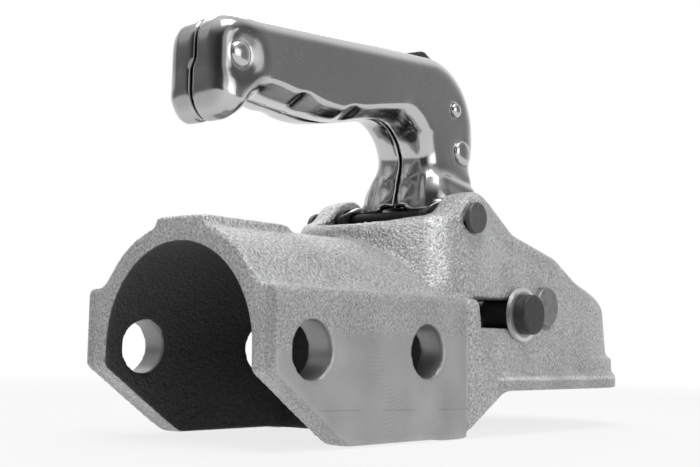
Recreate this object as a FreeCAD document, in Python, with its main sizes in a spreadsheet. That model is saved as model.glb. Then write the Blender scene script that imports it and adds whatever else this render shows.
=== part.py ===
"""Ball coupler for a braked or unbraked trailer drawbar, clamped on a 60 mm round tube.

The frame: the origin is the centre of the 50 mm tow ball, +X points to the towing
vehicle, +Z is up, and lengths are millimetres. The side with negative Y is the near side.
A cast housing carries a lever handle on two lugs. The lever draws a sliding bolt back
along a slot, which frees the jaw behind the ball.
"""
import FreeCAD, Part
import Sketcher
import math
import os
import re

Vector = FreeCAD.Vector
doc = FreeCAD.newDocument("BallCoupler")
sheet = doc.addObject("Spreadsheet::Sheet", "Size")

sizes = {
    # Ball and fits
    "ball_radius": 25.0,  # tow ball
    "ball_clearance": 0.3,  # between the ball and the socket
    "pin_clearance": 0.05,  # radial, of a pin in its bore
    "side_clearance": 0.3,  # between moving faces along a pin

    # Drawbar shell
    "tube_radius": 30.5,  # bore for the drawbar tube
    "tube_axis_height": 4.0,  # tube axis above the ball centre
    "shell_wall": 6.5,  # wall of the arch over the tube
    "rear_reach": 180.0,  # ball centre to the rear face
    "rear_bolt_reach": 165.0,  # ball centre to the rear cross bolt
    "cross_bolt_pitch": 54.0,  # between the two cross bolts
    "cross_bolt_radius": 8.25,  # cross bolt holes
    "land_half_width": 40.0,  # over the milled side lands
    "land_rise": 17.5,  # land edge above the tube axis
    "land_drop": 27.7,  # land foot below the tube axis
    "valley_angle": 38.0,  # arch angle at which the fill of the valley over a land starts
    "valley_radius": 7.0,  # rounding of that valley
    "land_front_reach": 88.7,  # ball centre to the land's front step
    "bevel_length": 31.8,  # bevel under the rear end, along the shell
    "bevel_height": 21.8,  # bevel under the rear end, upright
    "tube_stop_reach": 98.0,  # ball centre to the end of the tube bore
    "crest_pad_half_width": 10.4,  # raised pad on the crest of the arch
    "crest_pad_height": 1.3,  # raised pad above the arch
    "crest_pad_length": 41.5,  # raised pad from the rear face

    # Head casting
    "head_foot_half_width": 39.1,  # head at the foot of its drafted sides
    "head_draft": 4.2,  # casting draft of the sides in degrees
    "head_rear_reach": 113.0,  # ball centre to the rear of the collar
    "head_rear_corner": 38.0,  # corner radius of the collar in plan
    "collar_height": 47.0,  # collar rim above the ball centre
    "lug_crown_height": 64.0,  # height of the lug's crown before rounding
    "lug_crown_radius": 10.0,  # rounding of the lug's crown
    "roof_break_reach": 51.3,  # ball centre to the foot of the lug's front slope
    "roof_break_height": 46.6,  # roof at the foot of the lug's front slope
    "roof_mid_reach": 22.4,  # ball centre to the change of slope in the roof
    "roof_mid_height": 39.9,  # roof at that change of slope
    "roof_ball_reach": 7.7,  # ball centre to the start of the roof over the ball
    "roof_ball_height": 31.8,  # roof at that start
    "roof_slope": 0.31,  # fall of the roof over the ball per millimetre
    "head_edge_radius": 5.0,  # rounding of the head's upper edges
    "flange_radius": 42.0,  # foot flange round the ball centre
    "flange_thickness": 5.4,  # foot flange
    "rim_drop": 8.7,  # foot of the socket below the ball centre
    "ring_radius": 40.4,  # step ring above the flange
    "ring_height": 6.3,  # step ring
    "web_half_width": 41.5,  # raw side web beside the flange

    # Cavities
    "chamber_half_width": 22.5,  # pocket and mechanism chamber
    "pocket_rear_reach": 106.0,  # ball centre to the rear of the handle pocket
    "pocket_front_reach": 34.4,  # ball centre to the front of the handle pocket
    "pocket_corner": 22.0,  # corner radius at the pocket's rear
    "bulkhead": 4.5,  # wall between the tube bore and the chamber
    "chamber_front_reach": 6.0,  # ball centre to the chamber's front wall
    "roof_wall": 6.0,  # roof over the chamber

    # Pins
    "pivot_reach": 78.0,  # ball centre back to the handle pivot
    "pivot_height": 49.3,  # handle pivot above the ball centre
    "pivot_radius": 4.0,  # handle pivot pin
    "pivot_head_radius": 5.3,  # riveted end of the pivot pin
    "pivot_head_height": 1.9,  # riveted end of the pivot pin
    "spot_radius": 10.5,  # spot face round the pivot pin
    "spot_half_width": 34.6,  # over the two spot faces
    "jaw_pin_reach": 35.2,  # ball centre back to the jaw pin
    "jaw_pin_height": 20.9,  # jaw pin above the ball centre
    "jaw_pin_radius": 5.0,  # jaw pin
    "jaw_pin_head_radius": 7.05,  # head of the jaw pin
    "jaw_pin_head_height": 2.4,  # head of the jaw pin
    "jaw_seat_half_width": 36.4,  # over the seats of the jaw pin's heads

    # Locking bolt and slide
    "bolt_reach": 53.5,  # ball centre back to the closed locking bolt
    "bolt_height": 17.4,  # locking bolt above the ball centre
    "bolt_radius": 4.8,  # locking bolt
    "bolt_travel": 20.0,  # locking bolt from closed to open
    "slot_half_height": 5.0,  # slots in the housing's sides
    "slot_rear_spare": 4.5,  # slot behind the open bolt
    "bolt_head_radius": 6.95,  # round head of the locking bolt
    "bolt_head_height": 4.4,  # round head of the locking bolt
    "washer_radius": 9.4,  # washers of the locking bolt
    "washer_thickness": 1.6,  # washers of the locking bolt
    "nut_across_flats": 16.0,  # nut of the locking bolt
    "nut_height": 6.0,  # nut of the locking bolt
    "slide_half_width": 16.2,  # locking slide
    "slide_rear_length": 6.5,  # slide behind the bolt axis
    "slide_half_height": 9.6,  # slide above and below the bolt axis
    "spring_mean_radius": 7.8,  # locking spring
    "spring_wire_radius": 1.1,  # locking spring
    "spring_turns": 5.0,  # locking spring
    "guide_radius": 4.5,  # spring guide stud
    "guide_length": 11.0,  # spring guide stud in front of the bulkhead
    "guide_flange": 1.4,  # flange of the spring guide stud
    "spring_seat_depth": 1.2,  # seat of the spring in the slide
    "spring_end_gap": 0.3,  # between the ends of a spring and its seats

    # Clamping jaw
    "jaw_half_width": 21.6,  # jaw over the ball
    "jaw_hub_half_width": 15.6,  # jaw at its hub
    "jaw_back_reach": 41.6,  # ball centre to the jaw's back
    "jaw_wing_reach": 15.0,  # ball centre to the tips of the jaw's wings
    "jaw_spacer_radius": 6.5,  # spacer tubes on the jaw pin

    # Handle
    "grip_half_width": 13.2,  # handle shells together, halved
    "sheet_wall": 2.6,  # pressed sheet of the handle
    "seam_gap": 0.6,  # between the two handle shells
    "grip_edge_radius": 6.9,  # pressed outer edges of the grip
    "tip_reach": 176.7,  # ball centre to the tip of the grip
    "grip_top_rear": 102.9,  # top of the grip at its tip
    "grip_top_front": 111.9,  # top of the grip over the neck
    "grip_underside": 78.9,  # underside of the grip at its middle
    "tip_foot_height": 68.2,  # foot of the tip's heel
    "neck_front_reach": 43.0,  # ball centre to the front of the neck
    "neck_rear_reach": 74.6,  # ball centre to the back of the neck
    "skirt_foot_height": 50.0,  # foot of the skirt
    "skirt_rear_reach": 77.8,  # ball centre to the back of the skirt
    "skirt_front_reach": 50.0,  # ball centre to the front of the skirt
    "flare_start_height": 73.0,  # skirt where it starts to flare
    "skirt_step": 0.15,  # step from the neck into the skirt
    "flare_upper_height": 67.0,  # skirt in the upper part of its flare
    "flare_lower_height": 61.0,  # skirt in the lower part of its flare
    "flare_end_height": 56.0,  # skirt where its flare ends
    "notch_half_width": 7.2,  # notch in the foot of the skirt's rear wall
    "notch_rise": 4.5,  # top of that notch above the skirt's foot
    "front_foot_rise": 7.0,  # skirt's front wall above the rest of its foot
    "cheek_half_width": 19.4,  # over the cheeks of the lever
    "cheek_eye_radius": 8.0,  # cheek round the pivot pin
    "cheek_tip_radius": 9.0,  # cheek round the locking bolt
    "cam_slot_clearance": 0.8,  # radial, of the bolt in the cheek slots
    "cam_slot_lean": 1.2,  # forward lean of the cheek slots
    "cam_slot_rise": 12.5,  # length of the cheek slots between centres

    # Rivets of the handle
    "tip_rivet_reach": 168.2,  # ball centre back to the tip rivet
    "tip_rivet_height": 90.4,  # tip rivet above the ball centre
    "tip_rivet_radius": 2.5,  # tip rivet shank
    "tip_rivet_head_radius": 3.9,  # domed head of the tip rivet
    "dimple_radius": 7.3,  # pressed dimple round the tip rivet
    "dimple_depth": 1.3,  # pressed dimple round the tip rivet
    "catch_pin_reach": 58.6,  # ball centre back to the catch pin
    "catch_pin_height": 91.8,  # catch pin above the ball centre
    "catch_pin_radius": 2.0,  # catch pin
    "catch_pin_head_radius": 2.7,  # domed head of the catch pin
    "neck_rivet_reach": 54.1,  # ball centre back to the neck rivet
    "neck_rivet_height": 76.6,  # neck rivet above the ball centre
    "neck_rivet_radius": 2.2,  # neck rivet shank
    "neck_rivet_head_radius": 4.6,  # domed head of the neck rivet
    "rivet_head_height": 1.6,  # heads of the handle's rivets
    "tube_wall": 1.2,  # wall of the spacer tubes

    # Thumb catch
    "catch_half_width": 4.0,  # thumb catch
    "catch_top_height": 114.0,  # top of the thumb pad
    "catch_nose_height": 43.5,  # foot of the catch's nose
    "catch_nose_reach": 43.2,  # ball centre to the tip of the catch's nose
    "catch_boss_radius": 6.0,  # boss of the catch round its pin
    "catch_window_half_width": 4.8,  # window for the thumb pad
    "catch_window_rear_reach": 77.5,  # ball centre to the rear of that window
    "catch_window_front_reach": 53.0,  # ball centre to the front of that window
    "catch_spring_radius": 3.6,  # spring of the thumb catch
    "catch_spring_wire_radius": 0.6,  # spring of the thumb catch
    "catch_spring_turns": 3.0,  # spring of the thumb catch
}
for row, (alias, value) in enumerate(sizes.items(), 1):
    sheet.set("A%d" % row, alias.replace("_", " "))
    sheet.set("B%d" % row, str(value))
    sheet.setAlias("B%d" % row, alias)
doc.recompute()


def bind(text):
    """Turn plain size names into references to the spreadsheet."""
    def reference(found):
        word = found.group()
        return "Size." + word if word in sizes else word
    return re.sub(r"[a-z_]+", reference, str(text))


def number(text):
    """Work out an expression of sizes."""
    return float(sheet.evalExpression(bind(text)))


def tie(item, *pairs):
    """Bind properties of an object to expressions of sizes."""
    for prop, text in pairs:
        item.setExpression(prop, bind(text))


def place(item, along="0", across="0", up="0"):
    """Bind the place of a sub-part."""
    tie(item, ("Placement.Base.x", along), ("Placement.Base.y", across), ("Placement.Base.z", up))


def round_corner(before, corner, after, radius):
    """Tangent points and centre of an arc that rounds a corner."""
    back = (before - corner).normalize()
    ahead = (after - corner).normalize()
    half = back.getAngle(ahead) / 2
    run = radius / math.tan(half)
    middle = corner + (back + ahead).normalize() * (radius / math.sin(half))
    return corner + back * run, corner + ahead * run, middle


def touch(point, centre, radius, side):
    """Where a line from a point touches a circle that lies on its left or right."""
    reach = centre - point
    turn = FreeCAD.Rotation(Vector(0, 0, 1), -side * math.degrees(math.asin(radius / reach.Length)))
    run = math.sqrt(reach.Length ** 2 - radius ** 2)
    return point + turn.multVec(reach).normalize() * run


def pin_down(drawing, geometry, vertex, along, up):
    """Fix a point of a sketch at two expressions."""
    for kind, text in (("DistanceX", along), ("DistanceY", up)):
        rule = Sketcher.Constraint(kind, -1, 1, geometry, vertex, number(text))
        index = drawing.addConstraint(rule)
        drawing.setExpression("Constraints[%d]" % index, bind(text))


def add_arc(drawing, middle, radius, start, end):
    """Add an arc from start to end the short way or as a half circle, and name its ends."""
    first = math.atan2(start.y - middle.y, start.x - middle.x)
    last = math.atan2(end.y - middle.y, end.x - middle.x)
    circle = Part.Circle(middle, Vector(0, 0, 1), radius)
    if (start - middle).cross(end - middle).z > -0.001 * radius ** 2:
        return drawing.addGeometry(Part.ArcOfCircle(circle, first, last), False), 1, 2
    return drawing.addGeometry(Part.ArcOfCircle(circle, last, first), False), 2, 1


def draw_outline(drawing, corners):
    """Add a closed outline, anticlockwise where it has caps.

    Each corner is (across, up), or (across, up, rounding), or a cap: the centre and
    radius of a round end, which its neighbours' lines touch, and the word cap.
    """
    count = len(corners)
    points = [Vector(number(c[0]), number(c[1]), 0) for c in corners]
    ways_in = list(points)
    ways_out = list(points)
    for i in range(count):
        if len(corners[i]) == 4:
            radius = number(corners[i][2])
            ways_in[i] = touch(points[i - 1], points[i], radius, 1)
            ways_out[i] = touch(points[(i + 1) % count], points[i], radius, -1)
    joints = []
    for i in range(count):
        if len(corners[i]) == 2:
            joints.append((points[i], points[i], None))
        elif len(corners[i]) == 4:
            joints.append((ways_in[i], ways_out[i], points[i]))
        else:
            joints.append(round_corner(ways_out[i - 1], points[i], ways_in[(i + 1) % count],
                                       number(corners[i][2])))
    sides = []
    for i in range(count):
        line = Part.LineSegment(joints[i][1], joints[(i + 1) % count][0])
        sides.append(drawing.addGeometry(line, False))
    for i in range(count):
        start, end, middle = joints[i]
        if middle is None:
            drawing.addConstraint(Sketcher.Constraint("Coincident", sides[i - 1], 2, sides[i], 1))
            pin_down(drawing, sides[i], 1, corners[i][0], corners[i][1])
            continue
        arc, near, far = add_arc(drawing, middle, number(corners[i][2]), start, end)
        drawing.addConstraint(Sketcher.Constraint("Tangent", sides[i - 1], 2, arc, near))
        drawing.addConstraint(Sketcher.Constraint("Tangent", arc, far, sides[i], 1))
        if len(corners[i]) == 4:
            pin_down(drawing, arc, 3, corners[i][0], corners[i][1])
        else:
            corner = drawing.addGeometry(Part.Point(points[i]), True)
            drawing.addConstraint(Sketcher.Constraint("PointOnObject", corner, 1, sides[i - 1]))
            drawing.addConstraint(Sketcher.Constraint("PointOnObject", corner, 1, sides[i]))
            pin_down(drawing, corner, 1, corners[i][0], corners[i][1])
        index = drawing.addConstraint(Sketcher.Constraint("Radius", arc, number(corners[i][2])))
        drawing.setExpression("Constraints[%d]" % index, bind(corners[i][2]))


def draw_circle(drawing, along, up, radius):
    """Add a circle at two expressions with a bound radius."""
    centre = Vector(number(along), number(up), 0)
    ring = drawing.addGeometry(Part.Circle(centre, Vector(0, 0, 1), number(radius)), False)
    pin_down(drawing, ring, 3, along, up)
    index = drawing.addConstraint(Sketcher.Constraint("Radius", ring, number(radius)))
    drawing.setExpression("Constraints[%d]" % index, bind(radius))


def draw_slot(drawing, start, end, radius):
    """Add a round-ended slot between two centres."""
    centres = [Vector(number(c[0]), number(c[1]), 0) for c in (start, end)]
    ahead = (centres[1] - centres[0]).normalize()
    side = Vector(-ahead.y, ahead.x, 0) * number(radius)
    turn = math.atan2(ahead.y, ahead.x)
    caps = []
    for centre, swing in ((centres[0], turn + math.pi / 2), (centres[1], turn - math.pi / 2)):
        circle = Part.Circle(centre, Vector(0, 0, 1), number(radius))
        caps.append(drawing.addGeometry(Part.ArcOfCircle(circle, swing, swing + math.pi), False))
    lower = drawing.addGeometry(Part.LineSegment(centres[0] - side, centres[1] - side), False)
    upper = drawing.addGeometry(Part.LineSegment(centres[1] + side, centres[0] + side), False)
    for first, end_one, second, end_two in ((caps[0], 2, lower, 1), (lower, 2, caps[1], 1),
                                            (caps[1], 2, upper, 1), (upper, 2, caps[0], 1)):
        drawing.addConstraint(Sketcher.Constraint("Tangent", first, end_one, second, end_two))
    pin_down(drawing, caps[0], 3, *start)
    pin_down(drawing, caps[1], 3, *end)
    index = drawing.addConstraint(Sketcher.Constraint("Radius", caps[0], number(radius)))
    drawing.setExpression("Constraints[%d]" % index, bind(radius))


def new_body(name):
    """Start a sub-part."""
    body = doc.addObject("PartDesign::Body", name)
    body.Label = name
    return body


def origin_feature(body, role):
    """Find a plane or axis of a body's own origin."""
    for feature in body.Origin.OriginFeatures:
        if feature.Role == role:
            return feature


def sketch_in(body, name, role, lift="0"):
    """Start a sketch on an origin plane, lifted along the plane's normal."""
    drawing = body.newObject("Sketcher::SketchObject", name)
    drawing.AttachmentSupport = [(origin_feature(body, role), "")]
    drawing.MapMode = "FlatFace"
    tie(drawing, ("AttachmentOffset.Base.z", lift))
    return drawing


def feature(body, kind, name, drawing, length=None, side="Symmetric", back=False, draft=None):
    """Add a pad or pocket made from a sketch."""
    item = body.newObject("PartDesign::" + kind, name)
    item.Profile = drawing
    item.SideType = side
    item.Reversed = back
    if length is None:
        item.Type = "ThroughAll"
    else:
        tie(item, ("Length", length))
    if draft:
        tie(item, ("TaperAngle", draft))
    return item


def turn_about(body, kind, name, drawing, role):
    """Add a revolution or groove about an axis of the body."""
    item = body.newObject("PartDesign::" + kind, name)
    item.Profile = drawing
    item.ReferenceAxis = (origin_feature(body, role), [""])
    item.Angle = 360
    return item


def normals_at(shape, edge):
    """Middle of an edge and the outward normals of its two faces there."""
    middle = edge.valueAt((edge.FirstParameter + edge.LastParameter) / 2)
    normals = []
    for face in shape.ancestorsOfType(edge, Part.Face):
        u, v = face.Surface.parameter(middle)
        normals.append(face.normalAt(u, v))
    return middle, normals


def edges_of(shape, chosen):
    """Names of the edges that a test on middle and normals picks."""
    names = []
    for i, edge in enumerate(shape.Edges):
        middle, normals = normals_at(shape, edge)
        if len(normals) == 2 and chosen(middle, normals):
            names.append("Edge%d" % (i + 1))
    return names


def round_edges(body, name, base, radius, chosen):
    """Round the picked edges of a body's last feature."""
    doc.recompute()
    item = body.newObject("PartDesign::Fillet", name)
    item.Base = (base, edges_of(base.Shape, chosen))
    tie(item, ("Radius", radius))
    doc.recompute()
    return item


def turned(name, corners, along="0", up="0", across="0"):
    """A turned piece about the Y axis; corners are (radius, place along Y)."""
    body = new_body(name)
    drawing = sketch_in(body, name + "_profile", "XY_Plane")
    draw_outline(drawing, corners)
    turn_about(body, "Revolution", name + "_turning", drawing, "Y_Axis")
    place(body, along, across, up)
    return body


def tube(name, outer, inner, start, end, along, up):
    """A plain tube or spacer about the Y axis."""
    corners = [(inner, start), (outer, start), (outer, end), (inner, end)]
    return turned(name, corners, along, up)


# Housing: one casting
housing = new_body("housing")

# The drafted head block with its round nose over the ball
foot = "-rim_drop"
head_top = "lug_crown_height + rim_drop + 5"
drawing = sketch_in(housing, "head_plan", "XY_Plane", foot)
draw_outline(drawing, [("-head_rear_reach", "-head_foot_half_width", "head_rear_corner"),
                       ("0", "0", "head_foot_half_width", "cap"),
                       ("-head_rear_reach", "head_foot_half_width", "head_rear_corner")])
feature(housing, "Pad", "head", drawing, head_top, "One side", draft="-head_draft")

# The roof line: collar, lug crown, front slope and the roof over the ball
drawing = sketch_in(housing, "roof_line", "XZ_Plane")
beyond = "flange_radius + 20"
draw_outline(drawing, [("-head_rear_reach - 10", "collar_height"),
                       ("-head_rear_reach + 12", "collar_height", "20"),
                       ("-pivot_reach - 14", "collar_height + 3.4", "14"),
                       ("-pivot_reach + 1.5", "lug_crown_height", "lug_crown_radius"),
                       ("-roof_break_reach", "roof_break_height", "8"),
                       ("-roof_mid_reach", "roof_mid_height", "8"),
                       ("-roof_ball_reach", "roof_ball_height", "30"),
                       (beyond, "roof_ball_height - roof_slope * (roof_ball_reach + " + beyond + ")"),
                       (beyond, "lug_crown_height + 30"),
                       ("-head_rear_reach - 10", "lug_crown_height + 30")])
roof = feature(housing, "Pocket", "roof", drawing)


def on_roof_edge(middle, normals):
    """Edges between the roof and the sides of the head."""
    flat = [abs(n.y) < 0.01 and n.z > 0.3 for n in normals]
    upright = [abs(n.z) < 0.2 for n in normals]
    return any(flat) and any(upright)


round_edges(housing, "head_edges", roof, "head_edge_radius", on_roof_edge)


# The arch over the drawbar tube, its side lands and the raised pad on its crest
land_top = "tube_axis_height + land_rise"
land_foot = "tube_axis_height - land_drop"
arch_radius = "tube_radius + shell_wall"
chamber_rear = "-tube_stop_reach + bulkhead"
drawing = sketch_in(housing, "arch_section", "YZ_Plane", "-rear_reach")
draw_outline(drawing, [("-(" + arch_radius + ")", land_foot),
                       (arch_radius, land_foot),
                       ("0", "tube_axis_height", arch_radius, "cap")])
feature(housing, "Pad", "arch", drawing, "rear_reach - tube_stop_reach + bulkhead + 2", "One side")
drawing = sketch_in(housing, "land_side", "XZ_Plane")
draw_outline(drawing, [("-rear_reach", land_foot),
                       ("-land_front_reach", land_foot, "2"),
                       ("-land_front_reach", land_top),
                       ("-rear_reach", land_top)])
feature(housing, "Pad", "lands", drawing, "2 * land_half_width")
drawing = sketch_in(housing, "valley_section", "YZ_Plane", "-rear_reach")
valley_foot = "((%s - land_rise * sin(valley_angle)) / cos(valley_angle))" % arch_radius
valley_side = "(%s) * cos(valley_angle)" % arch_radius
valley_crown = "tube_axis_height + (%s) * sin(valley_angle)" % arch_radius
for mirror in ("", "-"):
    draw_outline(drawing, [(mirror + "(land_half_width - 2)", land_top + " - 5"),
                           (mirror + "(land_half_width - 2)", land_top),
                           (mirror + valley_foot, land_top, "valley_radius"),
                           (mirror + valley_side, valley_crown),
                           (mirror + "(tube_radius + 1)", land_top + " - 5")])
feature(housing, "Pad", "valleys", drawing, "rear_reach - land_front_reach - 1", "One side")
drawing = sketch_in(housing, "crest_pad_plan", "XY_Plane", "tube_axis_height")
pad_front = "-rear_reach + crest_pad_length"
draw_outline(drawing, [("-rear_reach", "-crest_pad_half_width"),
                       (pad_front, "-crest_pad_half_width", "8"),
                       (pad_front, "crest_pad_half_width", "8"),
                       ("-rear_reach", "crest_pad_half_width")])
feature(housing, "Pad", "crest_pad", drawing, arch_radius + " + crest_pad_height", "One side")

# Foot flange, step ring and the raw webs that run from the lands into the flange
drawing = sketch_in(housing, "flange_plan", "XY_Plane", foot)
draw_outline(drawing, [("-roof_break_reach - 18", "-flange_radius"),
                       ("0", "0", "flange_radius", "cap"),
                       ("-roof_break_reach - 18", "flange_radius")])
feature(housing, "Pad", "flange", drawing, "flange_thickness", "One side")
drawing = sketch_in(housing, "ring_plan", "XY_Plane", foot)
draw_circle(drawing, "0", "0", "ring_radius")
feature(housing, "Pad", "ring", drawing, "flange_thickness + ring_height", "One side")
drawing = sketch_in(housing, "web_side", "XZ_Plane")
draw_outline(drawing, [("-land_front_reach", land_foot + " + 3"),
                       ("-roof_break_reach - 16", "-rim_drop", "12"),
                       ("-roof_break_reach", "-rim_drop"),
                       ("-roof_break_reach", "-rim_drop + flange_thickness"),
                       ("-land_front_reach + 8.5", "0", "14"),
                       ("-land_front_reach + 4.4", land_top, "3"),
                       ("-land_front_reach", land_top)])
feature(housing, "Pad", "webs", drawing, "2 * web_half_width")
drawing = sketch_in(housing, "bevel_side", "XZ_Plane")
draw_outline(drawing, [("-rear_reach - 10", land_foot + " - 5"),
                       ("-rear_reach + bevel_length + 5 * bevel_length / bevel_height",
                        land_foot + " - 5"),
                       ("-rear_reach", land_foot + " + bevel_height", "5"),
                       ("-rear_reach - 10", land_foot + " + bevel_height + 50")])
feature(housing, "Pocket", "rear_bevel", drawing)

# The bore for the tube, open below, and its cross bolt holes
drawing = sketch_in(housing, "tube_section", "YZ_Plane", "-rear_reach - 5")
draw_outline(drawing, [("-tube_radius", land_foot + " - 5"),
                       ("tube_radius", land_foot + " - 5"),
                       ("0", "tube_axis_height", "tube_radius", "cap")])
feature(housing, "Pocket", "tube_bore", drawing, "rear_reach + 5 - tube_stop_reach", "One side", True)
drawing = sketch_in(housing, "cross_bolts_side", "XZ_Plane")
draw_circle(drawing, "-rear_bolt_reach", "tube_axis_height", "cross_bolt_radius")
draw_circle(drawing, "-rear_bolt_reach + cross_bolt_pitch", "tube_axis_height", "cross_bolt_radius")
feature(housing, "Pocket", "cross_bolt_holes", drawing)

# The pocket that the handle sinks into, and the chamber of the mechanism below it
pocket_floor = "tube_axis_height + tube_radius + 4.5"
drawing = sketch_in(housing, "pocket_plan", "XY_Plane", pocket_floor)
draw_outline(drawing, [("-pocket_rear_reach", "-chamber_half_width", "pocket_corner"),
                       ("-pocket_front_reach", "-chamber_half_width", "4"),
                       ("-pocket_front_reach", "chamber_half_width", "4"),
                       ("-pocket_rear_reach", "chamber_half_width", "pocket_corner")])
feature(housing, "Pocket", "handle_pocket", drawing, None, "One side", True)
drawing = sketch_in(housing, "chamber_side", "XZ_Plane")
draw_outline(drawing, [(chamber_rear, land_foot + " - 5"),
                       ("-chamber_front_reach", land_foot + " - 5"),
                       ("-chamber_front_reach", "ball_radius - 4", "5"),
                       ("-roof_mid_reach", "roof_mid_height - roof_wall - 1", "8"),
                       ("-pocket_front_reach", "roof_mid_height - roof_wall + 1"),
                       ("-pocket_front_reach", pocket_floor + " + 0.5"),
                       (chamber_rear, pocket_floor + " + 0.5")])
feature(housing, "Pocket", "chamber", drawing, "2 * chamber_half_width")

# The socket: the front half of a hollow ball that runs straight down to the rim
seat = housing.newObject("PartDesign::SubtractiveSphere", "ball_seat")
tie(seat, ("Radius", "ball_radius + ball_clearance"))
throat = housing.newObject("PartDesign::SubtractiveCylinder", "ball_throat")
tie(throat, ("Radius", "ball_radius + 2 * ball_clearance"), ("Height", "rim_drop + 1"))
tie(throat, ("Placement.Base.z", "-rim_drop - 1"))
mouth = housing.newObject("PartDesign::SubtractiveCone", "ball_mouth")
tie(mouth, ("Radius1", "ball_radius + 3.5"), ("Radius2", "ball_radius"), ("Height", "3.5"))
tie(mouth, ("Placement.Base.z", "-rim_drop"))

# Slots of the locking bolt and bores of the two pins, with their milled seats
drawing = sketch_in(housing, "slot_side", "XZ_Plane")
slot_rear = "-bolt_reach - bolt_travel - slot_rear_spare"
draw_slot(drawing, (slot_rear, "bolt_height"), ("-bolt_reach", "bolt_height"), "slot_half_height")
feature(housing, "Pocket", "bolt_slots", drawing)
drawing = sketch_in(housing, "pins_side", "XZ_Plane")
draw_circle(drawing, "-pivot_reach", "pivot_height", "pivot_radius + pin_clearance")
draw_circle(drawing, "-jaw_pin_reach", "jaw_pin_height", "jaw_pin_radius + pin_clearance")
feature(housing, "Pocket", "pin_bores", drawing)
for label, along, up, radius, half_width in (
        ("pivot_seat", "-pivot_reach", "pivot_height", "spot_radius", "spot_half_width"),
        ("jaw_pin_seat", "-jaw_pin_reach", "jaw_pin_height", "jaw_pin_head_radius + 1.5",
         "jaw_seat_half_width")):
    for side, sign, back in (("near", "", True), ("far", "-", False)):
        drawing = sketch_in(housing, label + "_" + side, "XZ_Plane", sign + half_width)
        draw_circle(drawing, along, up, radius)
        feature(housing, "Pocket", label + "_cut_" + side, drawing, "10", "One side", back)
drawing = sketch_in(housing, "guide_section", "YZ_Plane", "-tube_stop_reach - 1")
draw_circle(drawing, "0", "bolt_height", "guide_radius + pin_clearance")
last = feature(housing, "Pocket", "guide_hole", drawing, "bulkhead + 2", "One side", True)


def on_land_edge(middle, normals):
    """Outer edges of the lands."""
    return (abs(abs(middle.y) - number("land_half_width")) < 0.05
            and abs(middle.z - number(land_top)) < 0.1)


def on_flange_edge(middle, normals):
    """Upper outer edge of the foot flange."""
    top = abs(middle.z - number("flange_thickness - rim_drop")) < 0.05
    level = any(n.z > 0.9 for n in normals)
    round_end = abs(math.hypot(middle.x, middle.y) - number("flange_radius")) < 0.1 and middle.x > 0
    straight = abs(abs(middle.y) - number("flange_radius")) < 0.05
    return top and level and (round_end or straight)


def on_ring_edge(middle, normals):
    """Upper outer edge of the step ring."""
    top = abs(middle.z - number("flange_thickness + ring_height - rim_drop")) < 0.05
    level = any(n.z > 0.9 for n in normals)
    return top and level and abs(math.hypot(middle.x, middle.y) - number("ring_radius")) < 0.1


def on_crest_edge(middle, normals):
    """Upper edges of the pad on the crest of the arch."""
    top = number("tube_axis_height + crest_pad_height + " + arch_radius)
    return abs(middle.z - top) < 0.05 and middle.x > number("-rear_reach") + 0.1


for name, radius, chosen in (("land_edges", "2", on_land_edge),
                             ("flange_edge", "1.2", on_flange_edge),
                             ("ring_edge", "1.2", on_ring_edge),
                             ("crest_edges", "crest_pad_height - 0.2", on_crest_edge)):
    last = round_edges(housing, name, last, radius, chosen)

# Pins and spacers that stay with the housing
spot = "spot_half_width"
pivot_end = "spot_half_width + pivot_head_height"
turned("pivot_pin", [("0", "-(" + pivot_end + ")"),
                     ("pivot_head_radius", "-(" + pivot_end + ")", "0.5"),
                     ("pivot_head_radius", "-" + spot),
                     ("pivot_radius", "-" + spot),
                     ("pivot_radius", spot),
                     ("pivot_head_radius", spot),
                     ("pivot_head_radius", pivot_end, "0.5"),
                     ("0", pivot_end)], "-pivot_reach", "pivot_height")
seat = "jaw_seat_half_width"
jaw_pin_end = "jaw_seat_half_width + jaw_pin_head_height"
turned("jaw_pin", [("0", "-(" + jaw_pin_end + ")"),
                   ("jaw_pin_head_radius", "-(" + jaw_pin_end + ")", "0.8"),
                   ("jaw_pin_head_radius", "-" + seat),
                   ("jaw_pin_radius", "-" + seat),
                   ("jaw_pin_radius", seat),
                   ("jaw_pin_head_radius", seat),
                   ("jaw_pin_head_radius", jaw_pin_end, "0.8"),
                   ("0", jaw_pin_end)], "-jaw_pin_reach", "jaw_pin_height")
wall_face = "chamber_half_width - pin_clearance"
for side, sign in (("near", "-"), ("far", "")):
    ends = ["cheek_half_width + side_clearance", wall_face]
    if sign:
        ends = ["-chamber_half_width + pin_clearance", "-cheek_half_width - side_clearance"]
    tube("pivot_spacer_" + side, "cheek_eye_radius - 2", "pivot_radius + pin_clearance",
         ends[0], ends[1], "-pivot_reach", "pivot_height")
    ends = ["jaw_hub_half_width + side_clearance", wall_face]
    if sign:
        ends = ["-chamber_half_width + pin_clearance", "-jaw_hub_half_width - side_clearance"]
    tube("jaw_spacer_" + side, "jaw_spacer_radius", "jaw_pin_radius + pin_clearance",
         ends[0], ends[1], "-jaw_pin_reach", "jaw_pin_height")

# Spring guide stud: a flanged stud set in the bulkhead
spring_outer = "spring_mean_radius + spring_wire_radius + 0.4"
guide = new_body("spring_guide")
drawing = sketch_in(guide, "guide_profile", "XY_Plane")
draw_outline(drawing, [("-tube_stop_reach", "0"),
                       (chamber_rear + " + guide_length", "0"),
                       (chamber_rear + " + guide_length", "guide_radius", "1"),
                       (chamber_rear + " + guide_flange", "guide_radius"),
                       (chamber_rear + " + guide_flange", spring_outer),
                       (chamber_rear, spring_outer),
                       (chamber_rear, "guide_radius"),
                       ("-tube_stop_reach", "guide_radius", "0.6")])
turn_about(guide, "Revolution", "guide_turning", drawing, "X_Axis")
place(guide, up="bolt_height")

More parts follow.
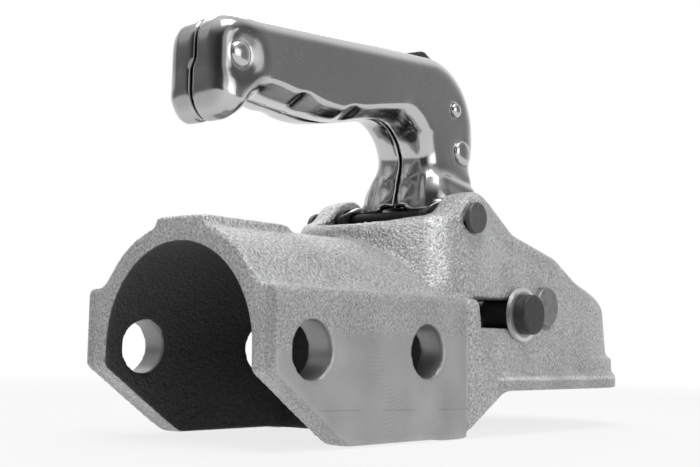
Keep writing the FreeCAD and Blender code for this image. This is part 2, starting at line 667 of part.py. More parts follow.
# Locking slide: a block across the chamber that the bolt runs through
slide = new_body("locking_slide")
slide_rear = "-bolt_reach - slide_rear_length"
slide_front = "-jaw_back_reach - side_clearance"
drawing = sketch_in(slide, "slide_side", "XZ_Plane")
draw_outline(drawing, [(slide_rear, "bolt_height - slide_half_height", "1"),
                       (slide_front, "bolt_height - slide_half_height", "2"),
                       (slide_front, "bolt_height + 1.6", "2"),
                       (slide_front + " - 8", "bolt_height + slide_half_height", "2"),
                       (slide_rear, "bolt_height + slide_half_height", "1")])
feature(slide, "Pad", "slide_block", drawing, "2 * slide_half_width")
drawing = sketch_in(slide, "slide_bore", "XZ_Plane")
draw_circle(drawing, "-bolt_reach", "bolt_height", "bolt_radius + pin_clearance")
feature(slide, "Pocket", "slide_bore_cut", drawing)
drawing = sketch_in(slide, "spring_seat", "YZ_Plane", slide_rear)
draw_circle(drawing, "0", "bolt_height", spring_outer)
feature(slide, "Pocket", "spring_seat_cut", drawing, "spring_seat_depth", "One side", True)

# Locking bolt with its round head, washers and nut
washer_seat = ("head_foot_half_width - (bolt_height - washer_radius + rim_drop) * tan(head_draft)"
               " + 0.15")
head_seat = washer_seat + " + washer_thickness"
head_end = head_seat + " + bolt_head_height"
bolt_end = head_seat + " + nut_height + 1.5"
turned("locking_bolt", [("0", "-(" + head_end + ")"),
                        ("bolt_head_radius", "-(" + head_end + ")", "1"),
                        ("bolt_head_radius", "-(" + head_seat + ")"),
                        ("bolt_radius", "-(" + head_seat + ")"),
                        ("bolt_radius", bolt_end, "0.8"),
                        ("0", bolt_end)], "-bolt_reach", "bolt_height")
tube("washer_near", "washer_radius", "bolt_radius + pin_clearance",
     "-(" + head_seat + ")", "-(" + washer_seat + ")", "-bolt_reach", "bolt_height")
tube("washer_far", "washer_radius", "bolt_radius + pin_clearance",
     washer_seat, head_seat, "-bolt_reach", "bolt_height")
nut = new_body("bolt_nut")
drawing = sketch_in(nut, "nut_hexagon", "XZ_Plane", "-(" + head_seat + ")")
hexagon = []
for corner in range(6):
    spread = " * nut_across_flats / sqrt(3)"
    hexagon.append(("cos(%d)" % (60 * corner) + spread, "sin(%d)" % (60 * corner) + spread))
draw_outline(drawing, hexagon)
draw_circle(drawing, "0", "0", "bolt_radius + pin_clearance")
feature(nut, "Pad", "nut_block", drawing, "nut_height", "One side", True)
place(nut, "-bolt_reach", "0", "bolt_height")

# Clamping jaw: hangs on the jaw pin and wraps the back of the ball
jaw = new_body("clamping_jaw")
drawing = sketch_in(jaw, "jaw_side", "XZ_Plane")
jaw_foot = "-rim_drop + 0.4"
draw_outline(drawing, [("-jaw_back_reach", "jaw_pin_height + 8", "7"),
                       ("-jaw_back_reach", "2", "6"),
                       ("-ball_radius - 7", jaw_foot, "4"),
                       ("-jaw_wing_reach", jaw_foot),
                       ("-jaw_wing_reach", "14"),
                       ("-jaw_wing_reach - 8", "jaw_pin_height + 6", "5")])
feature(jaw, "Pad", "jaw_block", drawing, "2 * jaw_half_width")
cup = jaw.newObject("PartDesign::SubtractiveSphere", "jaw_cup")
tie(cup, ("Radius", "ball_radius + ball_clearance"))
hub_front = "-jaw_pin_reach + jaw_spacer_radius + 0.6"
for side, sign in (("near", "-"), ("far", "")):
    drawing = sketch_in(jaw, "hub_relief_" + side, "XY_Plane")
    draw_outline(drawing, [("-jaw_back_reach - 5", sign + "jaw_hub_half_width"),
                           (hub_front, sign + "jaw_hub_half_width"),
                           (hub_front, sign + "jaw_half_width * 1.2"),
                           ("-jaw_back_reach - 5", sign + "jaw_half_width * 1.2")])
    feature(jaw, "Pocket", "hub_relief_cut_" + side, drawing)
drawing = sketch_in(jaw, "jaw_bore", "XZ_Plane")
draw_circle(drawing, "-jaw_pin_reach", "jaw_pin_height", "jaw_pin_radius + pin_clearance")
feature(jaw, "Pocket", "jaw_bore_cut", drawing)
# Handle: two pressed shells that meet at a seam, each with a cheek of the lever
def inset(corners, depth):
    """Corners of an outline moved inwards by a size, with their roundings."""
    points = [Vector(number(c[0]), number(c[1]), 0) for c in corners]
    area = sum(points[i - 1].x * points[i].y - points[i].x * points[i - 1].y
               for i in range(len(points)))
    turn = math.copysign(1, area)
    moved = []
    for i, corner in enumerate(corners):
        back = (points[i] - points[i - 1]).normalize()
        ahead = (points[(i + 1) % len(points)] - points[i]).normalize()
        first = Vector(-back.y, back.x, 0) * turn
        second = Vector(-ahead.y, ahead.x, 0) * turn
        step = (first + second) / (1 + first.dot(second))
        convex = back.cross(ahead).z * turn > 0
        new = ["%s + %.5f * %s" % (corner[0], step.x, depth),
               "%s + %.5f * %s" % (corner[1], step.y, depth)]
        if len(corner) == 3:
            new.append(corner[2] + (" - " if convex else " + ") + depth)
        moved.append(tuple(new))
    return moved


grip_outline = [("-tip_reach", "grip_top_rear", "9"),
                ("-tip_reach", "tip_foot_height + 9.6", "7"),
                ("-tip_reach + 7.2", "tip_foot_height - 0.4", "7"),
                ("-tip_reach + 17.6", "grip_underside + 2.1", "8"),
                ("-122", "grip_underside - 0.8", "60"),
                ("-neck_rear_reach - 0.9", "88", "15"),
                ("-neck_rear_reach", "flare_start_height"),
                ("-neck_front_reach - 1.8", "flare_start_height"),
                ("-neck_front_reach", "78", "20"),
                ("-neck_front_reach - 1.3", "grip_top_front", "26")]
skirt_rows = [("flare_start_height + 2", "neck_rear_reach - skirt_step",
               "neck_front_reach + 1.8 + skirt_step",
               "grip_half_width - skirt_step", "grip_edge_radius", "grip_edge_radius"),
              ("flare_start_height", "neck_rear_reach - skirt_step",
               "neck_front_reach + 1.8 + skirt_step",
               "grip_half_width - skirt_step", "grip_edge_radius", "grip_edge_radius"),
              ("flare_upper_height", "neck_rear_reach + 0.6", "neck_front_reach + 3.2",
               "grip_half_width + 1.9", "grip_edge_radius", "grip_edge_radius"),
              ("flare_lower_height", "skirt_rear_reach - 1.2", "skirt_front_reach - 2.2",
               "cheek_half_width - 1.4", "grip_edge_radius + 1", "grip_edge_radius"),
              ("flare_end_height", "skirt_rear_reach - 0.3", "skirt_front_reach",
               "cheek_half_width - 0.2", "grip_edge_radius + 3", "grip_edge_radius"),
              ("skirt_foot_height", "skirt_rear_reach", "skirt_front_reach",
               "cheek_half_width", "grip_edge_radius + 3", "grip_edge_radius")]


def handle_form(name, sign, depth, seam):
    """A solid of one side of the handle, inset by a depth, from a seam outwards."""
    form = new_body(name)
    far = sign == ""
    corners = inset(grip_outline, depth) if depth != "0" else grip_outline
    if depth != "0":
        for i in (6, 7):
            corners[i] = (corners[i][0], "flare_start_height")
    drawing = sketch_in(form, name + "_side", "XZ_Plane", ("-" if far else "") + "(" + seam + ")")
    draw_outline(drawing, corners)
    pad = feature(form, "Pad", name + "_block", drawing,
                  "grip_half_width - " + depth + " - (" + seam + ")", "One side", far)

    def on_flank(middle, normals):
        """Outer edges of the flank above the skirt."""
        flank = number("grip_half_width - " + depth) - 0.1
        return abs(middle.y) > flank and middle.z > number("flare_start_height") + 0.5

    round_edges(form, name + "_edges", pad, "grip_edge_radius - " + depth, on_flank)
    sections = []
    for row, (height, rear, front, half, rear_corner, front_corner) in enumerate(skirt_rows):
        drawing = sketch_in(form, "%s_plan_%d" % (name, row + 1), "XY_Plane", height)
        rear_line = "-(" + rear + ") + " + depth
        front_line = "-(" + front + ") - " + depth
        side_line = sign + "(" + half + " - " + depth + ")"
        seam_line = sign + "(" + seam + ")"
        draw_outline(drawing, [(rear_line, seam_line),
                               (rear_line, side_line, rear_corner + " - " + depth),
                               (front_line, side_line, front_corner + " - " + depth),
                               (front_line, seam_line)])
        sections.append(drawing)
    skirt = form.newObject("PartDesign::AdditiveLoft", name + "_skirt")
    skirt.Profile = sections[0]
    skirt.Sections = [(section, [""]) for section in sections[1:]]
    if depth != "0":
        feature(form, "Pad", name + "_open_foot", sections[-1], "2", "One side", True)
    doc.recompute()
    return form


for side, sign in (("near", "-"), ("far", "")):
    far = sign == ""
    lift = "-(%s)" if far else "%s"
    shell = handle_form("handle_shell_" + side, sign, "0", "seam_gap / 2")
    hollow = handle_form("handle_hollow_" + side, sign, "sheet_wall", "-1")
    cut = shell.newObject("PartDesign::Boolean", "pressed_sheet_" + side)
    cut.Type = "Cut"
    cut.setObjects([hollow])
    # The cheek with its eye on the pivot and its slot for the locking bolt
    drawing = sketch_in(shell, "cheek_side_" + side, "XZ_Plane",
                        lift % "cheek_half_width - sheet_wall")
    draw_outline(drawing, [("-skirt_rear_reach + 1", "flare_end_height"),
                           ("-pivot_reach - cheek_eye_radius", "pivot_height + 2.7"),
                           ("-pivot_reach", "pivot_height", "cheek_eye_radius", "cap"),
                           ("-bolt_reach", "bolt_height", "cheek_tip_radius", "cap"),
                           ("-pocket_front_reach - 9.4", "bolt_height + cam_slot_rise + 4.5", "6"),
                           ("-skirt_front_reach - 3", "flare_end_height")])
    feature(shell, "Pad", "cheek_" + side, drawing, "sheet_wall", "One side", far)
    drawing = sketch_in(shell, "cheek_bore_side_" + side, "XZ_Plane")
    draw_circle(drawing, "-pivot_reach", "pivot_height", "pivot_radius + pin_clearance")
    feature(shell, "Pocket", "cheek_bore_" + side, drawing)
    drawing = sketch_in(shell, "cam_slot_side_" + side, "XZ_Plane")
    draw_slot(drawing, ("-bolt_reach", "bolt_height"),
              ("-bolt_reach + cam_slot_lean", "bolt_height + cam_slot_rise"),
              "bolt_radius + cam_slot_clearance")
    feature(shell, "Pocket", "cam_slot_" + side, drawing)
    # The window for the thumb pad, the notch at the rear and the raised front foot
    drawing = sketch_in(shell, "window_plan_" + side, "XY_Plane", "catch_pin_height")
    draw_outline(drawing, [("-catch_window_rear_reach", "-catch_window_half_width", "2"),
                           ("-catch_window_front_reach", "-catch_window_half_width", "2"),
                           ("-catch_window_front_reach", "catch_window_half_width", "2"),
                           ("-catch_window_rear_reach", "catch_window_half_width", "2")])
    feature(shell, "Pocket", "window_" + side, drawing, None, "One side", True)
    drawing = sketch_in(shell, "notch_section_" + side, "YZ_Plane", "-skirt_rear_reach - 12")
    notch_top = "skirt_foot_height + notch_rise"
    draw_outline(drawing, [("-notch_half_width", "bolt_height"),
                           ("notch_half_width", "bolt_height"),
                           ("notch_half_width", notch_top, "3"),
                           ("-notch_half_width", notch_top, "3")])
    feature(shell, "Pocket", "notch_" + side, drawing, "20", "One side", True)
    drawing = sketch_in(shell, "front_foot_side_" + side, "XZ_Plane")
    draw_outline(drawing, [("-skirt_front_reach - 14", "skirt_foot_height - 1"),
                           ("-skirt_front_reach + 9", "skirt_foot_height - 1"),
                           ("-skirt_front_reach + 9", "skirt_foot_height + front_foot_rise"),
                           ("-skirt_front_reach - 7", "skirt_foot_height + front_foot_rise - 2",
                            "4")])
    feature(shell, "Pocket", "front_foot_" + side, drawing, "2 * (cheek_half_width - sheet_wall)")
    # The pressed dimple round the tip rivet and the holes of the three rivets
    drawing = sketch_in(shell, "dimple_side_" + side, "XZ_Plane",
                        lift % "grip_half_width - dimple_depth")
    draw_circle(drawing, "-tip_rivet_reach", "tip_rivet_height", "dimple_radius")
    feature(shell, "Pocket", "dimple_" + side, drawing, "5", "One side", not far)
    drawing = sketch_in(shell, "dimple_back_side_" + side, "XZ_Plane",
                        lift % "grip_half_width - dimple_depth - sheet_wall")
    draw_circle(drawing, "-tip_rivet_reach", "tip_rivet_height", "dimple_radius - 1")
    feature(shell, "Pad", "dimple_back_" + side, drawing, "sheet_wall", "One side", far)
    drawing = sketch_in(shell, "rivets_side_" + side, "XZ_Plane")
    for along, up, radius in (("tip_rivet_reach", "tip_rivet_height", "tip_rivet_radius"),
                              ("catch_pin_reach", "catch_pin_height", "catch_pin_radius"),
                              ("neck_rivet_reach", "neck_rivet_height", "neck_rivet_radius")):
        draw_circle(drawing, "-" + along, up, radius + " + pin_clearance")
    feature(shell, "Pocket", "rivet_holes_" + side, drawing)
    doc.recompute()

# Rivets of the handle with their spacer tubes
def rivet(name, shank, head, seat, along, up):
    """A rivet through both shells with a domed head at each end."""
    top = seat + " + rivet_head_height"
    crown = head + " * 0.5"
    body = new_body(name)
    drawing = sketch_in(body, name + "_profile", "XY_Plane")
    draw_outline(drawing, [("0", "-(" + top + ")"),
                           (crown, "-(" + top + ")", "2"),
                           (head, "-(" + seat + ") - 0.4"),
                           (head, "-(" + seat + ")"),
                           (shank, "-(" + seat + ")"),
                           (shank, seat),
                           (head, seat),
                           (head, seat + " + 0.4"),
                           (crown, top, "2"),
                           ("0", top)])
    turn_about(body, "Revolution", name + "_turning", drawing, "Y_Axis")
    place(body, along, "0", up)


rivet("tip_rivet", "tip_rivet_radius", "tip_rivet_head_radius",
      "grip_half_width - dimple_depth", "-tip_rivet_reach", "tip_rivet_height")
rivet("catch_pin", "catch_pin_radius", "catch_pin_head_radius", "grip_half_width",
      "-catch_pin_reach", "catch_pin_height")
rivet("neck_rivet", "neck_rivet_radius", "neck_rivet_head_radius", "grip_half_width",
      "-neck_rivet_reach", "neck_rivet_height")
inner_face = "grip_half_width - sheet_wall - pin_clearance"
dimple_face = inner_face + " - dimple_depth"
tube("tip_spacer", "tip_rivet_radius + pin_clearance + tube_wall",
     "tip_rivet_radius + pin_clearance", "-(" + dimple_face + ")", dimple_face,
     "-tip_rivet_reach", "tip_rivet_height")
tube("neck_spacer", "neck_rivet_radius + pin_clearance + tube_wall",
     "neck_rivet_radius + pin_clearance", "-(" + inner_face + ")", inner_face,
     "-neck_rivet_reach", "neck_rivet_height")

# Thumb catch: a lever on the catch pin, with a pad out of the top and a nose below
catch = new_body("safety_catch")
drawing = sketch_in(catch, "catch_side", "XZ_Plane")
nose = "-catch_nose_reach"
draw_outline(drawing, [("-catch_pin_reach - 7.5", "catch_top_height", "4"),
                       ("-catch_pin_reach - 18.5", "catch_top_height - 3.2", "1"),
                       ("-catch_pin_reach - 18", "catch_top_height - 7", "1.5"),
                       ("-catch_pin_reach - 12", "catch_pin_height + 9", "4"),
                       ("-catch_pin_reach - 7", "catch_pin_height + 1", "5"),
                       ("-neck_rivet_reach - 12.5", "neck_rivet_height - 2", "12"),
                       ("-neck_rivet_reach - 10", "flare_lower_height - 8", "8"),
                       (nose + " - 4", "catch_nose_height - 1.8", "1.5"),
                       (nose, "catch_nose_height - 1.8", "1"),
                       (nose, "catch_nose_height + 2", "1"),
                       ("-neck_rivet_reach - 3.4", "flare_lower_height - 4", "6"),
                       ("-neck_rivet_reach - 6.4", "neck_rivet_height - 3", "12"),
                       ("-catch_pin_reach + catch_boss_radius", "catch_pin_height", "6"),
                       ("-catch_pin_reach + 1", "catch_pin_height + 10", "12"),
                       ("-catch_pin_reach + 0.5", "catch_top_height - 3.4", "2")])
feature(catch, "Pad", "catch_plate", drawing, "2 * catch_half_width")
drawing = sketch_in(catch, "catch_bore_side", "XZ_Plane")
draw_circle(drawing, "-catch_pin_reach", "catch_pin_height", "catch_pin_radius + pin_clearance")
feature(catch, "Pocket", "catch_bore", drawing)


def coil(name, radius, wire, length, turns, axis, along, across, up):
    """A coil spring: a circle swept along a helix that starts at a place."""
    helix = doc.addObject("Part::Helix", name + "_line")
    tie(helix, ("Radius", radius), ("Height", length), ("Pitch", "(" + length + ") / " + turns))
    wire_section = doc.addObject("Part::Circle", name + "_wire")
    tie(wire_section, ("Radius", wire), ("Placement.Base.x", radius))
    wire_section.Placement = FreeCAD.Placement(Vector(number(radius), 0, 0),
                                               FreeCAD.Rotation(Vector(1, 0, 0), 90))
    doc.recompute()
    spring = doc.addObject("Part::Sweep", name)
    spring.Label = name
    spring.Sections = [wire_section]
    spring.Spine = (helix, ["Edge1"])
    spring.Solid = True
    spring.Frenet = True
    spring.Placement = FreeCAD.Placement(Vector(0, 0, 0), FreeCAD.Rotation(Vector(0, 0, 1), axis))
    place(spring, along, across, up)
    return spring


guide_face = chamber_rear + " + guide_flange"
coil("locking_spring", "spring_mean_radius", "spring_wire_radius",
     slide_rear + " + spring_seat_depth - 2 * spring_wire_radius - 2 * spring_end_gap"
     " - (" + guide_face + ")", "spring_turns", Vector(1, 0, 0),
     guide_face + " + spring_wire_radius + spring_end_gap", "0", "bolt_height")
coil("catch_spring", "catch_spring_radius", "catch_spring_wire_radius",
     inner_face + " - catch_half_width - 2 * catch_spring_wire_radius - 2 * spring_end_gap",
     "catch_spring_turns", Vector(0, -1, 0), "-catch_pin_reach",
     "-(catch_half_width + catch_spring_wire_radius + spring_end_gap)", "catch_pin_height")

# Check every object and shape, then write one file for each sub-part
doc.recompute()
for item in doc.Objects:
    if "Invalid" in item.State or "Error" in item.State:
        raise RuntimeError("%s is %s" % (item.Name, item.State))
sub_parts = [item for item in doc.Objects
             if item.TypeId in ("PartDesign::Body", "Part::Sweep")
             and not item.Label.startswith("handle_hollow")]
for item in sub_parts:
    if item.Shape.isNull() or not item.Shape.isValid() or len(item.Shape.Solids) != 1:
        raise RuntimeError("%s is not one valid solid" % item.Label)
os.makedirs("parts", exist_ok=True)
for item in sub_parts:
    item.Shape.exportStep("parts/%s.step" % item.Label)
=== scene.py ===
# %% [markdown]
# # Trailer ball coupler
# The coupler is a cast housing with a clamp shell for the drawbar, a lever handle of two
# pressed shells, and a lock bolt that slides along a slot. The solids come in as a fixed
# frame. A plain solid has the right size but no skin, so this lesson adds the looks:
# finishes for the casting and the plated steel, and softer copies of the formed pieces.

# %% Load the frame
import bpy, bmesh, math
from mathutils import Matrix, Vector


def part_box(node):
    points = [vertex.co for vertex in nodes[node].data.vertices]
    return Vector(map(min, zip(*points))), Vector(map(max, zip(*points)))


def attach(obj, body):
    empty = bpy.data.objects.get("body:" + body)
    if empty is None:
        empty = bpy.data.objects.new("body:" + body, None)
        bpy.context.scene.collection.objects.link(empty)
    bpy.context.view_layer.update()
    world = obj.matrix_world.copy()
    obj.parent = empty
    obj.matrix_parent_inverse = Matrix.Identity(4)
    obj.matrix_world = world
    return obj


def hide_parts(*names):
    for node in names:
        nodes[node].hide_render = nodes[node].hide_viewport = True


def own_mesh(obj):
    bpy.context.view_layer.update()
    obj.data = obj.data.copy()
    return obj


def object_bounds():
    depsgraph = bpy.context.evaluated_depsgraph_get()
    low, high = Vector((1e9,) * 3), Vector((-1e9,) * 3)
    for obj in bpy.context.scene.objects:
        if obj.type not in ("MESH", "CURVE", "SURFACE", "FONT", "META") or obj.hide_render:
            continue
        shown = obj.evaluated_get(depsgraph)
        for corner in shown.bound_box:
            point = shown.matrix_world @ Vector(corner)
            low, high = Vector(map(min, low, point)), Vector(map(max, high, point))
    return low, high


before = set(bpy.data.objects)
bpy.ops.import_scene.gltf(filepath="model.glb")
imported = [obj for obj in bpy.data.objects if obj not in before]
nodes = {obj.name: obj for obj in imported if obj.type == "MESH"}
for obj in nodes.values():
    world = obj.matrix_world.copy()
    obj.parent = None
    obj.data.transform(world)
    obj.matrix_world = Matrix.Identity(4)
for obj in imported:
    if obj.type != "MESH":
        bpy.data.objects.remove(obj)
cad_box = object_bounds()
MM = 0.001
print("nodes:", len(nodes), "box in mm:", [[round(c / MM) for c in corner] for corner in cad_box])


def mm(*numbers):
    """A vector given in millimetres."""
    return Vector(numbers) * MM


# %% [markdown]
# The camera stands low behind the rear end, on the near side, and looks slightly up along
# the coupler. It could be placed by eye. Its place and lens were fitted instead to the
# outline of the shell, its holes and the grip, so every edge falls where the photograph
# has it.

# %% Camera
photo_width = 700
lens_in_pixels = 1174.54
camera_place = mm(-408.52, -253.85, 4.89)
azimuth = math.radians(-50.384)
rise = math.radians(5.545)
roll = math.radians(1.088)
ahead = Vector((-math.sin(azimuth) * math.cos(rise), math.cos(azimuth) * math.cos(rise),
                math.sin(rise)))
level_right = ahead.cross(Vector((0, 0, 1))).normalized()
level_up = level_right.cross(ahead)
right = math.cos(roll) * level_right + math.sin(roll) * level_up
up = -math.sin(roll) * level_right + math.cos(roll) * level_up
lens_data = bpy.data.cameras.new("camera")
lens_data.sensor_width = 36
lens_data.lens = lens_data.sensor_width * lens_in_pixels / photo_width
lens_data.clip_start = 0.01
camera = bpy.data.objects.new("camera", lens_data)
camera.matrix_world = Matrix.LocRotScale(camera_place,
                                         Matrix((right, up, -ahead)).transposed(), None)
bpy.context.collection.objects.link(camera)
bpy.context.scene.camera = camera
bpy.context.scene.view_settings.view_transform = "Standard"
print("lens in mm:", round(lens_data.lens, 1))

# %% [markdown]
# A finish is a small sum: a base tone, plus grain, plus wear. Each term could be wired by
# hand in the node editor. Writing the sum as plain Python keeps it readable, so one class
# wraps a socket of a shader node and gives it the usual signs.

# %% Sums of shader sockets
class Tone:
    """A shader socket that can be used in sums."""

    def __init__(self, tree, socket):
        self.tree = tree
        self.socket = socket

    def made(self, kind, settings, *inputs, output=0, **named):
        """Add a node, set it up, and feed its sockets with values or other tones."""
        node = self.tree.nodes.new("ShaderNode" + kind)
        for key, value in settings.items():
            setattr(node, key, value)
        pairs = list(enumerate(inputs)) + [(key.replace("_", " "), v) for key, v in named.items()]
        for key, value in pairs:
            if isinstance(value, Tone):
                self.tree.links.new(value.socket, node.inputs[key])
            elif value is not None:
                node.inputs[key].default_value = value
        return Tone(self.tree, node.outputs[output])

    def sum(self, operation, *others):
        return self.made("Math", {"operation": operation}, *others)

    def __add__(self, other): return self.sum("ADD", self, other)
    def __radd__(self, other): return self.sum("ADD", other, self)
    def __sub__(self, other): return self.sum("SUBTRACT", self, other)
    def __rsub__(self, other): return self.sum("SUBTRACT", other, self)
    def __mul__(self, other): return self.sum("MULTIPLY", self, other)
    def __rmul__(self, other): return self.sum("MULTIPLY", other, self)
    def __pow__(self, other): return self.sum("POWER", self, other)
    def __abs__(self): return self.sum("ABSOLUTE", self)
    def __neg__(self): return self.sum("MULTIPLY", self, -1.0)

    def at_most(self, limit):
        return self.sum("MINIMUM", self, limit)

    def at_least(self, limit):
        return self.sum("MAXIMUM", self, limit)

    def step(self, level, soft, before, after):
        return self.made("MapRange", {"interpolation_type": "SMOOTHSTEP"}, self,
                         level - soft / 2, level + soft / 2, before, after)

    def above(self, level, soft):
        """0 below a level and 1 above it, with a soft change."""
        return self.step(level, soft, 0.0, 1.0)

    def below(self, level, soft):
        """1 below a level and 0 above it, with a soft change."""
        return self.step(level, soft, 1.0, 0.0)


print("signs that a tone knows: + - * ** abs, at_most, at_least, above, below")

# %% [markdown]
# Every finish of the coupler needs the same start: a shader, the place on the piece in
# millimetres, and noises that are measured in millimetres too. Image maps could give that,
# but they need unwrapped pieces. Patterns in object space need no unwrapping and look the
# same on a node and on a new piece, so each finish is a small class with its own tree.

# %% Finishes
class Finish:
    """A new material with its shader, its place in millimetres and its noises."""

    def __init__(self, name, colour, metal, rough):
        self.material = bpy.data.materials.new(name)
        self.material.use_nodes = True
        self.tree = self.material.node_tree
        self.shader = self.tree.nodes["Principled BSDF"]
        self.shader.inputs["Base Color"].default_value = (*colour, 1)
        self.shader.inputs["Metallic"].default_value = metal
        self.shader.inputs["Roughness"].default_value = rough
        self.make = Tone(self.tree, None).made
        place = self.make("TexCoord", {}, output="Object")
        self.place = self.make("VectorMath", {"operation": "SCALE"}, place, Scale=1 / MM)
        split = self.make("SeparateXYZ", {}, self.place).socket.node
        self.x, self.y, self.z = (Tone(self.tree, split.outputs[i]) for i in range(3))

    def noise(self, grain, detail=2.0, rough=0.5):
        """Cloudy noise whose cells are about one grain wide, in millimetres."""
        return self.make("TexNoise", {}, Vector=self.place, Scale=1 / grain, Detail=detail,
                         Roughness=rough)

    def mix(self, share, *colours):
        """Blend two colours by a share."""
        pair = [colour if isinstance(colour, Tone) else (*colour, 1) for colour in colours]
        return self.make("Mix", {"data_type": "RGBA"}, share, None, None, None, None, None,
                         *pair, output=2)

    def ring_round(self, along, up):
        """Distance in the side view from an axis that runs across."""
        return ((self.x - along) * (self.x - along) + (self.z - up) * (self.z - up)) ** 0.5

    def feed(self, **inputs):
        """Feed sockets of the shader."""
        for key, tone in inputs.items():
            self.tree.links.new(tone.socket, self.shader.inputs[key.replace("_", " ")])

    def bump(self, height, depth):
        """Turn a height from 0 to 1 into relief of a depth in millimetres."""
        self.feed(Normal=self.make("Bump", {}, Strength=1.0, Distance=depth * MM, Height=height))


def grey(level):
    return (level, level, level)


def dress(finish, *names):
    """Give nodes or pieces a finish."""
    for name in names:
        piece = nodes[name] if isinstance(name, str) else name
        piece.data.materials.clear()
        piece.data.materials.append(finish.material)
    print(finish.material.name, "on", len(names), "pieces")


# %% [markdown]
# Plated steel shows its surroundings, so the light matters as much as the finish. A photo
# of a studio could light it, but a few soft zones are enough and stay plain. The room has a
# white backdrop behind the object, a bright ceiling, two windows at the height of the neck,
# and a dimmer side round the camera. Only mirror rays see that dim side. The camera sees
# plain white everywhere.

# %% World
world = bpy.data.worlds.new("studio")
bpy.context.scene.world = world
world.use_nodes = True
room = Tone(world.node_tree, None).made
way = room("TexCoord", {}, output="Generated")


def towards(x, y, z):
    """How far a ray looks towards a direction, 1 when it looks straight there."""
    return room("VectorMath", {"operation": "DOT_PRODUCT"}, way, (x, y, z), output="Value")


def seen_by(make, *rays):
    """1 for rays of the named kinds."""
    kinds = [make("LightPath", {}, output=f"Is {ray} Ray") for ray in rays]
    return kinds[0] if len(kinds) == 1 else kinds[0] + kinds[1]


to_back = towards(0.768, 0.64, 0.0)
ceiling = towards(0.0, 0.0, 1.0).above(0.72, 0.5)
rear_window = towards(-0.52, 0.63, 0.577).above(0.95, 0.06)
near_window = towards(-0.2, -0.945, 0.26).above(0.92, 0.1)
bright_zones = to_back.above(0.5, 0.6) + ceiling + 0.6 * rear_window + 1.4 * near_window
dim = 0.07 + 0.2 * (-to_back).below(0.66, 0.5)
eye = seen_by(room, "Camera")
mirror = seen_by(room, "Glossy", "Transmission")
level = (eye + mirror * (dim + 0.8 * bright_zones)).at_most(1.0)
white = (1, 1, 1, 1)
shown = room("MixShader", {}, (eye + mirror).at_most(1.0),
             room("Background", {}, white, 0.3), room("Background", {}, white, level))
world.node_tree.links.new(shown.socket, world.node_tree.nodes["World Output"].inputs["Surface"])
print("nodes in the room:", len(world.node_tree.nodes))

# %% [markdown]
# The photograph has soft shadows and a light from above that is a little stronger on the
# near side. Point lamps would give hard spots on the plating. Area lamps as wide as the
# object keep every highlight soft, so three of them stand above, behind and beside it.

# %% Lamps
def lamp(name, place, aim, size, watts):
    """A soft area lamp that looks at a point."""
    data = bpy.data.lights.new(name, "AREA")
    data.shape = "RECTANGLE"
    data.size, data.size_y = size[0] * MM, size[1] * MM
    data.energy = watts
    light = bpy.data.objects.new(name, data)
    light.location = mm(*place)
    light.rotation_euler = (mm(*aim) - mm(*place)).to_track_quat("-Z", "Y").to_euler()
    bpy.context.collection.objects.link(light)
    print(name, watts, "W")


lamp("key_lamp", (-200, -160, 640), (-60, 0, 30), (420, 300), 2.0)
lamp("rim_lamp", (200, 420, 560), (-60, 0, 40), (500, 260), 1.2)
lamp("side_lamp", (-60, -620, 220), (-60, 0, 20), (420, 260), 0.55)

# %% [markdown]
# The coupler stands on white paper that runs out into a white background, with a faint
# shadow under it. A bent backdrop would need a horizon to hide. A flat disc that glows more
# the further it lies from the object does without one, and its middle keeps the shadow.

# %% Floor
def piece_from(name, clay):
    """Turn a bmesh into an object at the origin."""
    mesh = bpy.data.meshes.new(name)
    clay.to_mesh(mesh)
    clay.free()
    piece = bpy.data.objects.new(name, mesh)
    bpy.context.collection.objects.link(piece)
    return piece


disc = bmesh.new()
bmesh.ops.create_circle(disc, cap_ends=True, radius=4, segments=96)
bmesh.ops.translate(disc, verts=disc.verts, vec=(0, 0, cad_box[0].z))
floor = piece_from("floor", disc)
paper = Finish("white_paper", grey(0.86), 0.0, 0.9)
paper.feed(Base_Color=paper.mix(paper.noise(60.0) * 0.06, grey(0.88), grey(0.8)))
flat_place = paper.make("VectorMath", {"operation": "MULTIPLY"}, paper.place, (1, 1, 0))
from_middle = paper.make("VectorMath", {"operation": "LENGTH"}, flat_place, output="Value")
far_out = from_middle.above(480.0, 440.0)
seen = seen_by(paper.make, "Camera") + seen_by(paper.make, "Glossy", "Transmission")
glow = paper.make("Emission", {}, Color=white, Strength=1.0)
lit = Tone(paper.tree, paper.shader.outputs[0])
surface = paper.make("MixShader", {}, seen * (0.8 + 0.2 * far_out), lit, glow)
paper.tree.links.new(surface.socket, paper.tree.nodes["Material Output"].inputs["Surface"])
dress(paper, floor)

# %% [markdown]
# The lever is two pressed sheets that meet along a seam. A press leaves no sharp corner:
# edges are round, and the finger side has hollows with small flats between them. Each form
# could be cut with bevels, but they run into each other. So the sheet is treated like clay:
# a rule says where each spot of it moves, and soft humps and ramps are all it needs.

# %% Humps and ramps
def swell(value, middle, width):
    """A soft hump of height 1 round a middle."""
    return math.exp(-((value - middle) / width) ** 2)


def ramp(value, low, high):
    """0 below low, 1 above high and smooth between."""
    share = min(max((value - low) / (high - low), 0.0), 1.0)
    return share * share * (3 - 2 * share)


def along_points(value, points):
    """Read a height off a smooth line through a few points."""
    if value <= points[0][0]:
        return points[0][1]
    for (start, low), (end, high) in zip(points, points[1:]):
        if value <= end:
            return low + (high - low) * ramp(value, start, end)
    return points[-1][1]


print("half way up a ramp:", ramp(0.5, 0, 1))

# %% [markdown]
# The fingers lie under the grip. On the real lever its flank runs down to a firm edge, the
# sheet turns under it, and two thumbnail flats stand between three shallow hollows. Cutting
# the flats with a plane gave a step at each end. A plane that bends away along the grip
# leaves a clean lens instead.

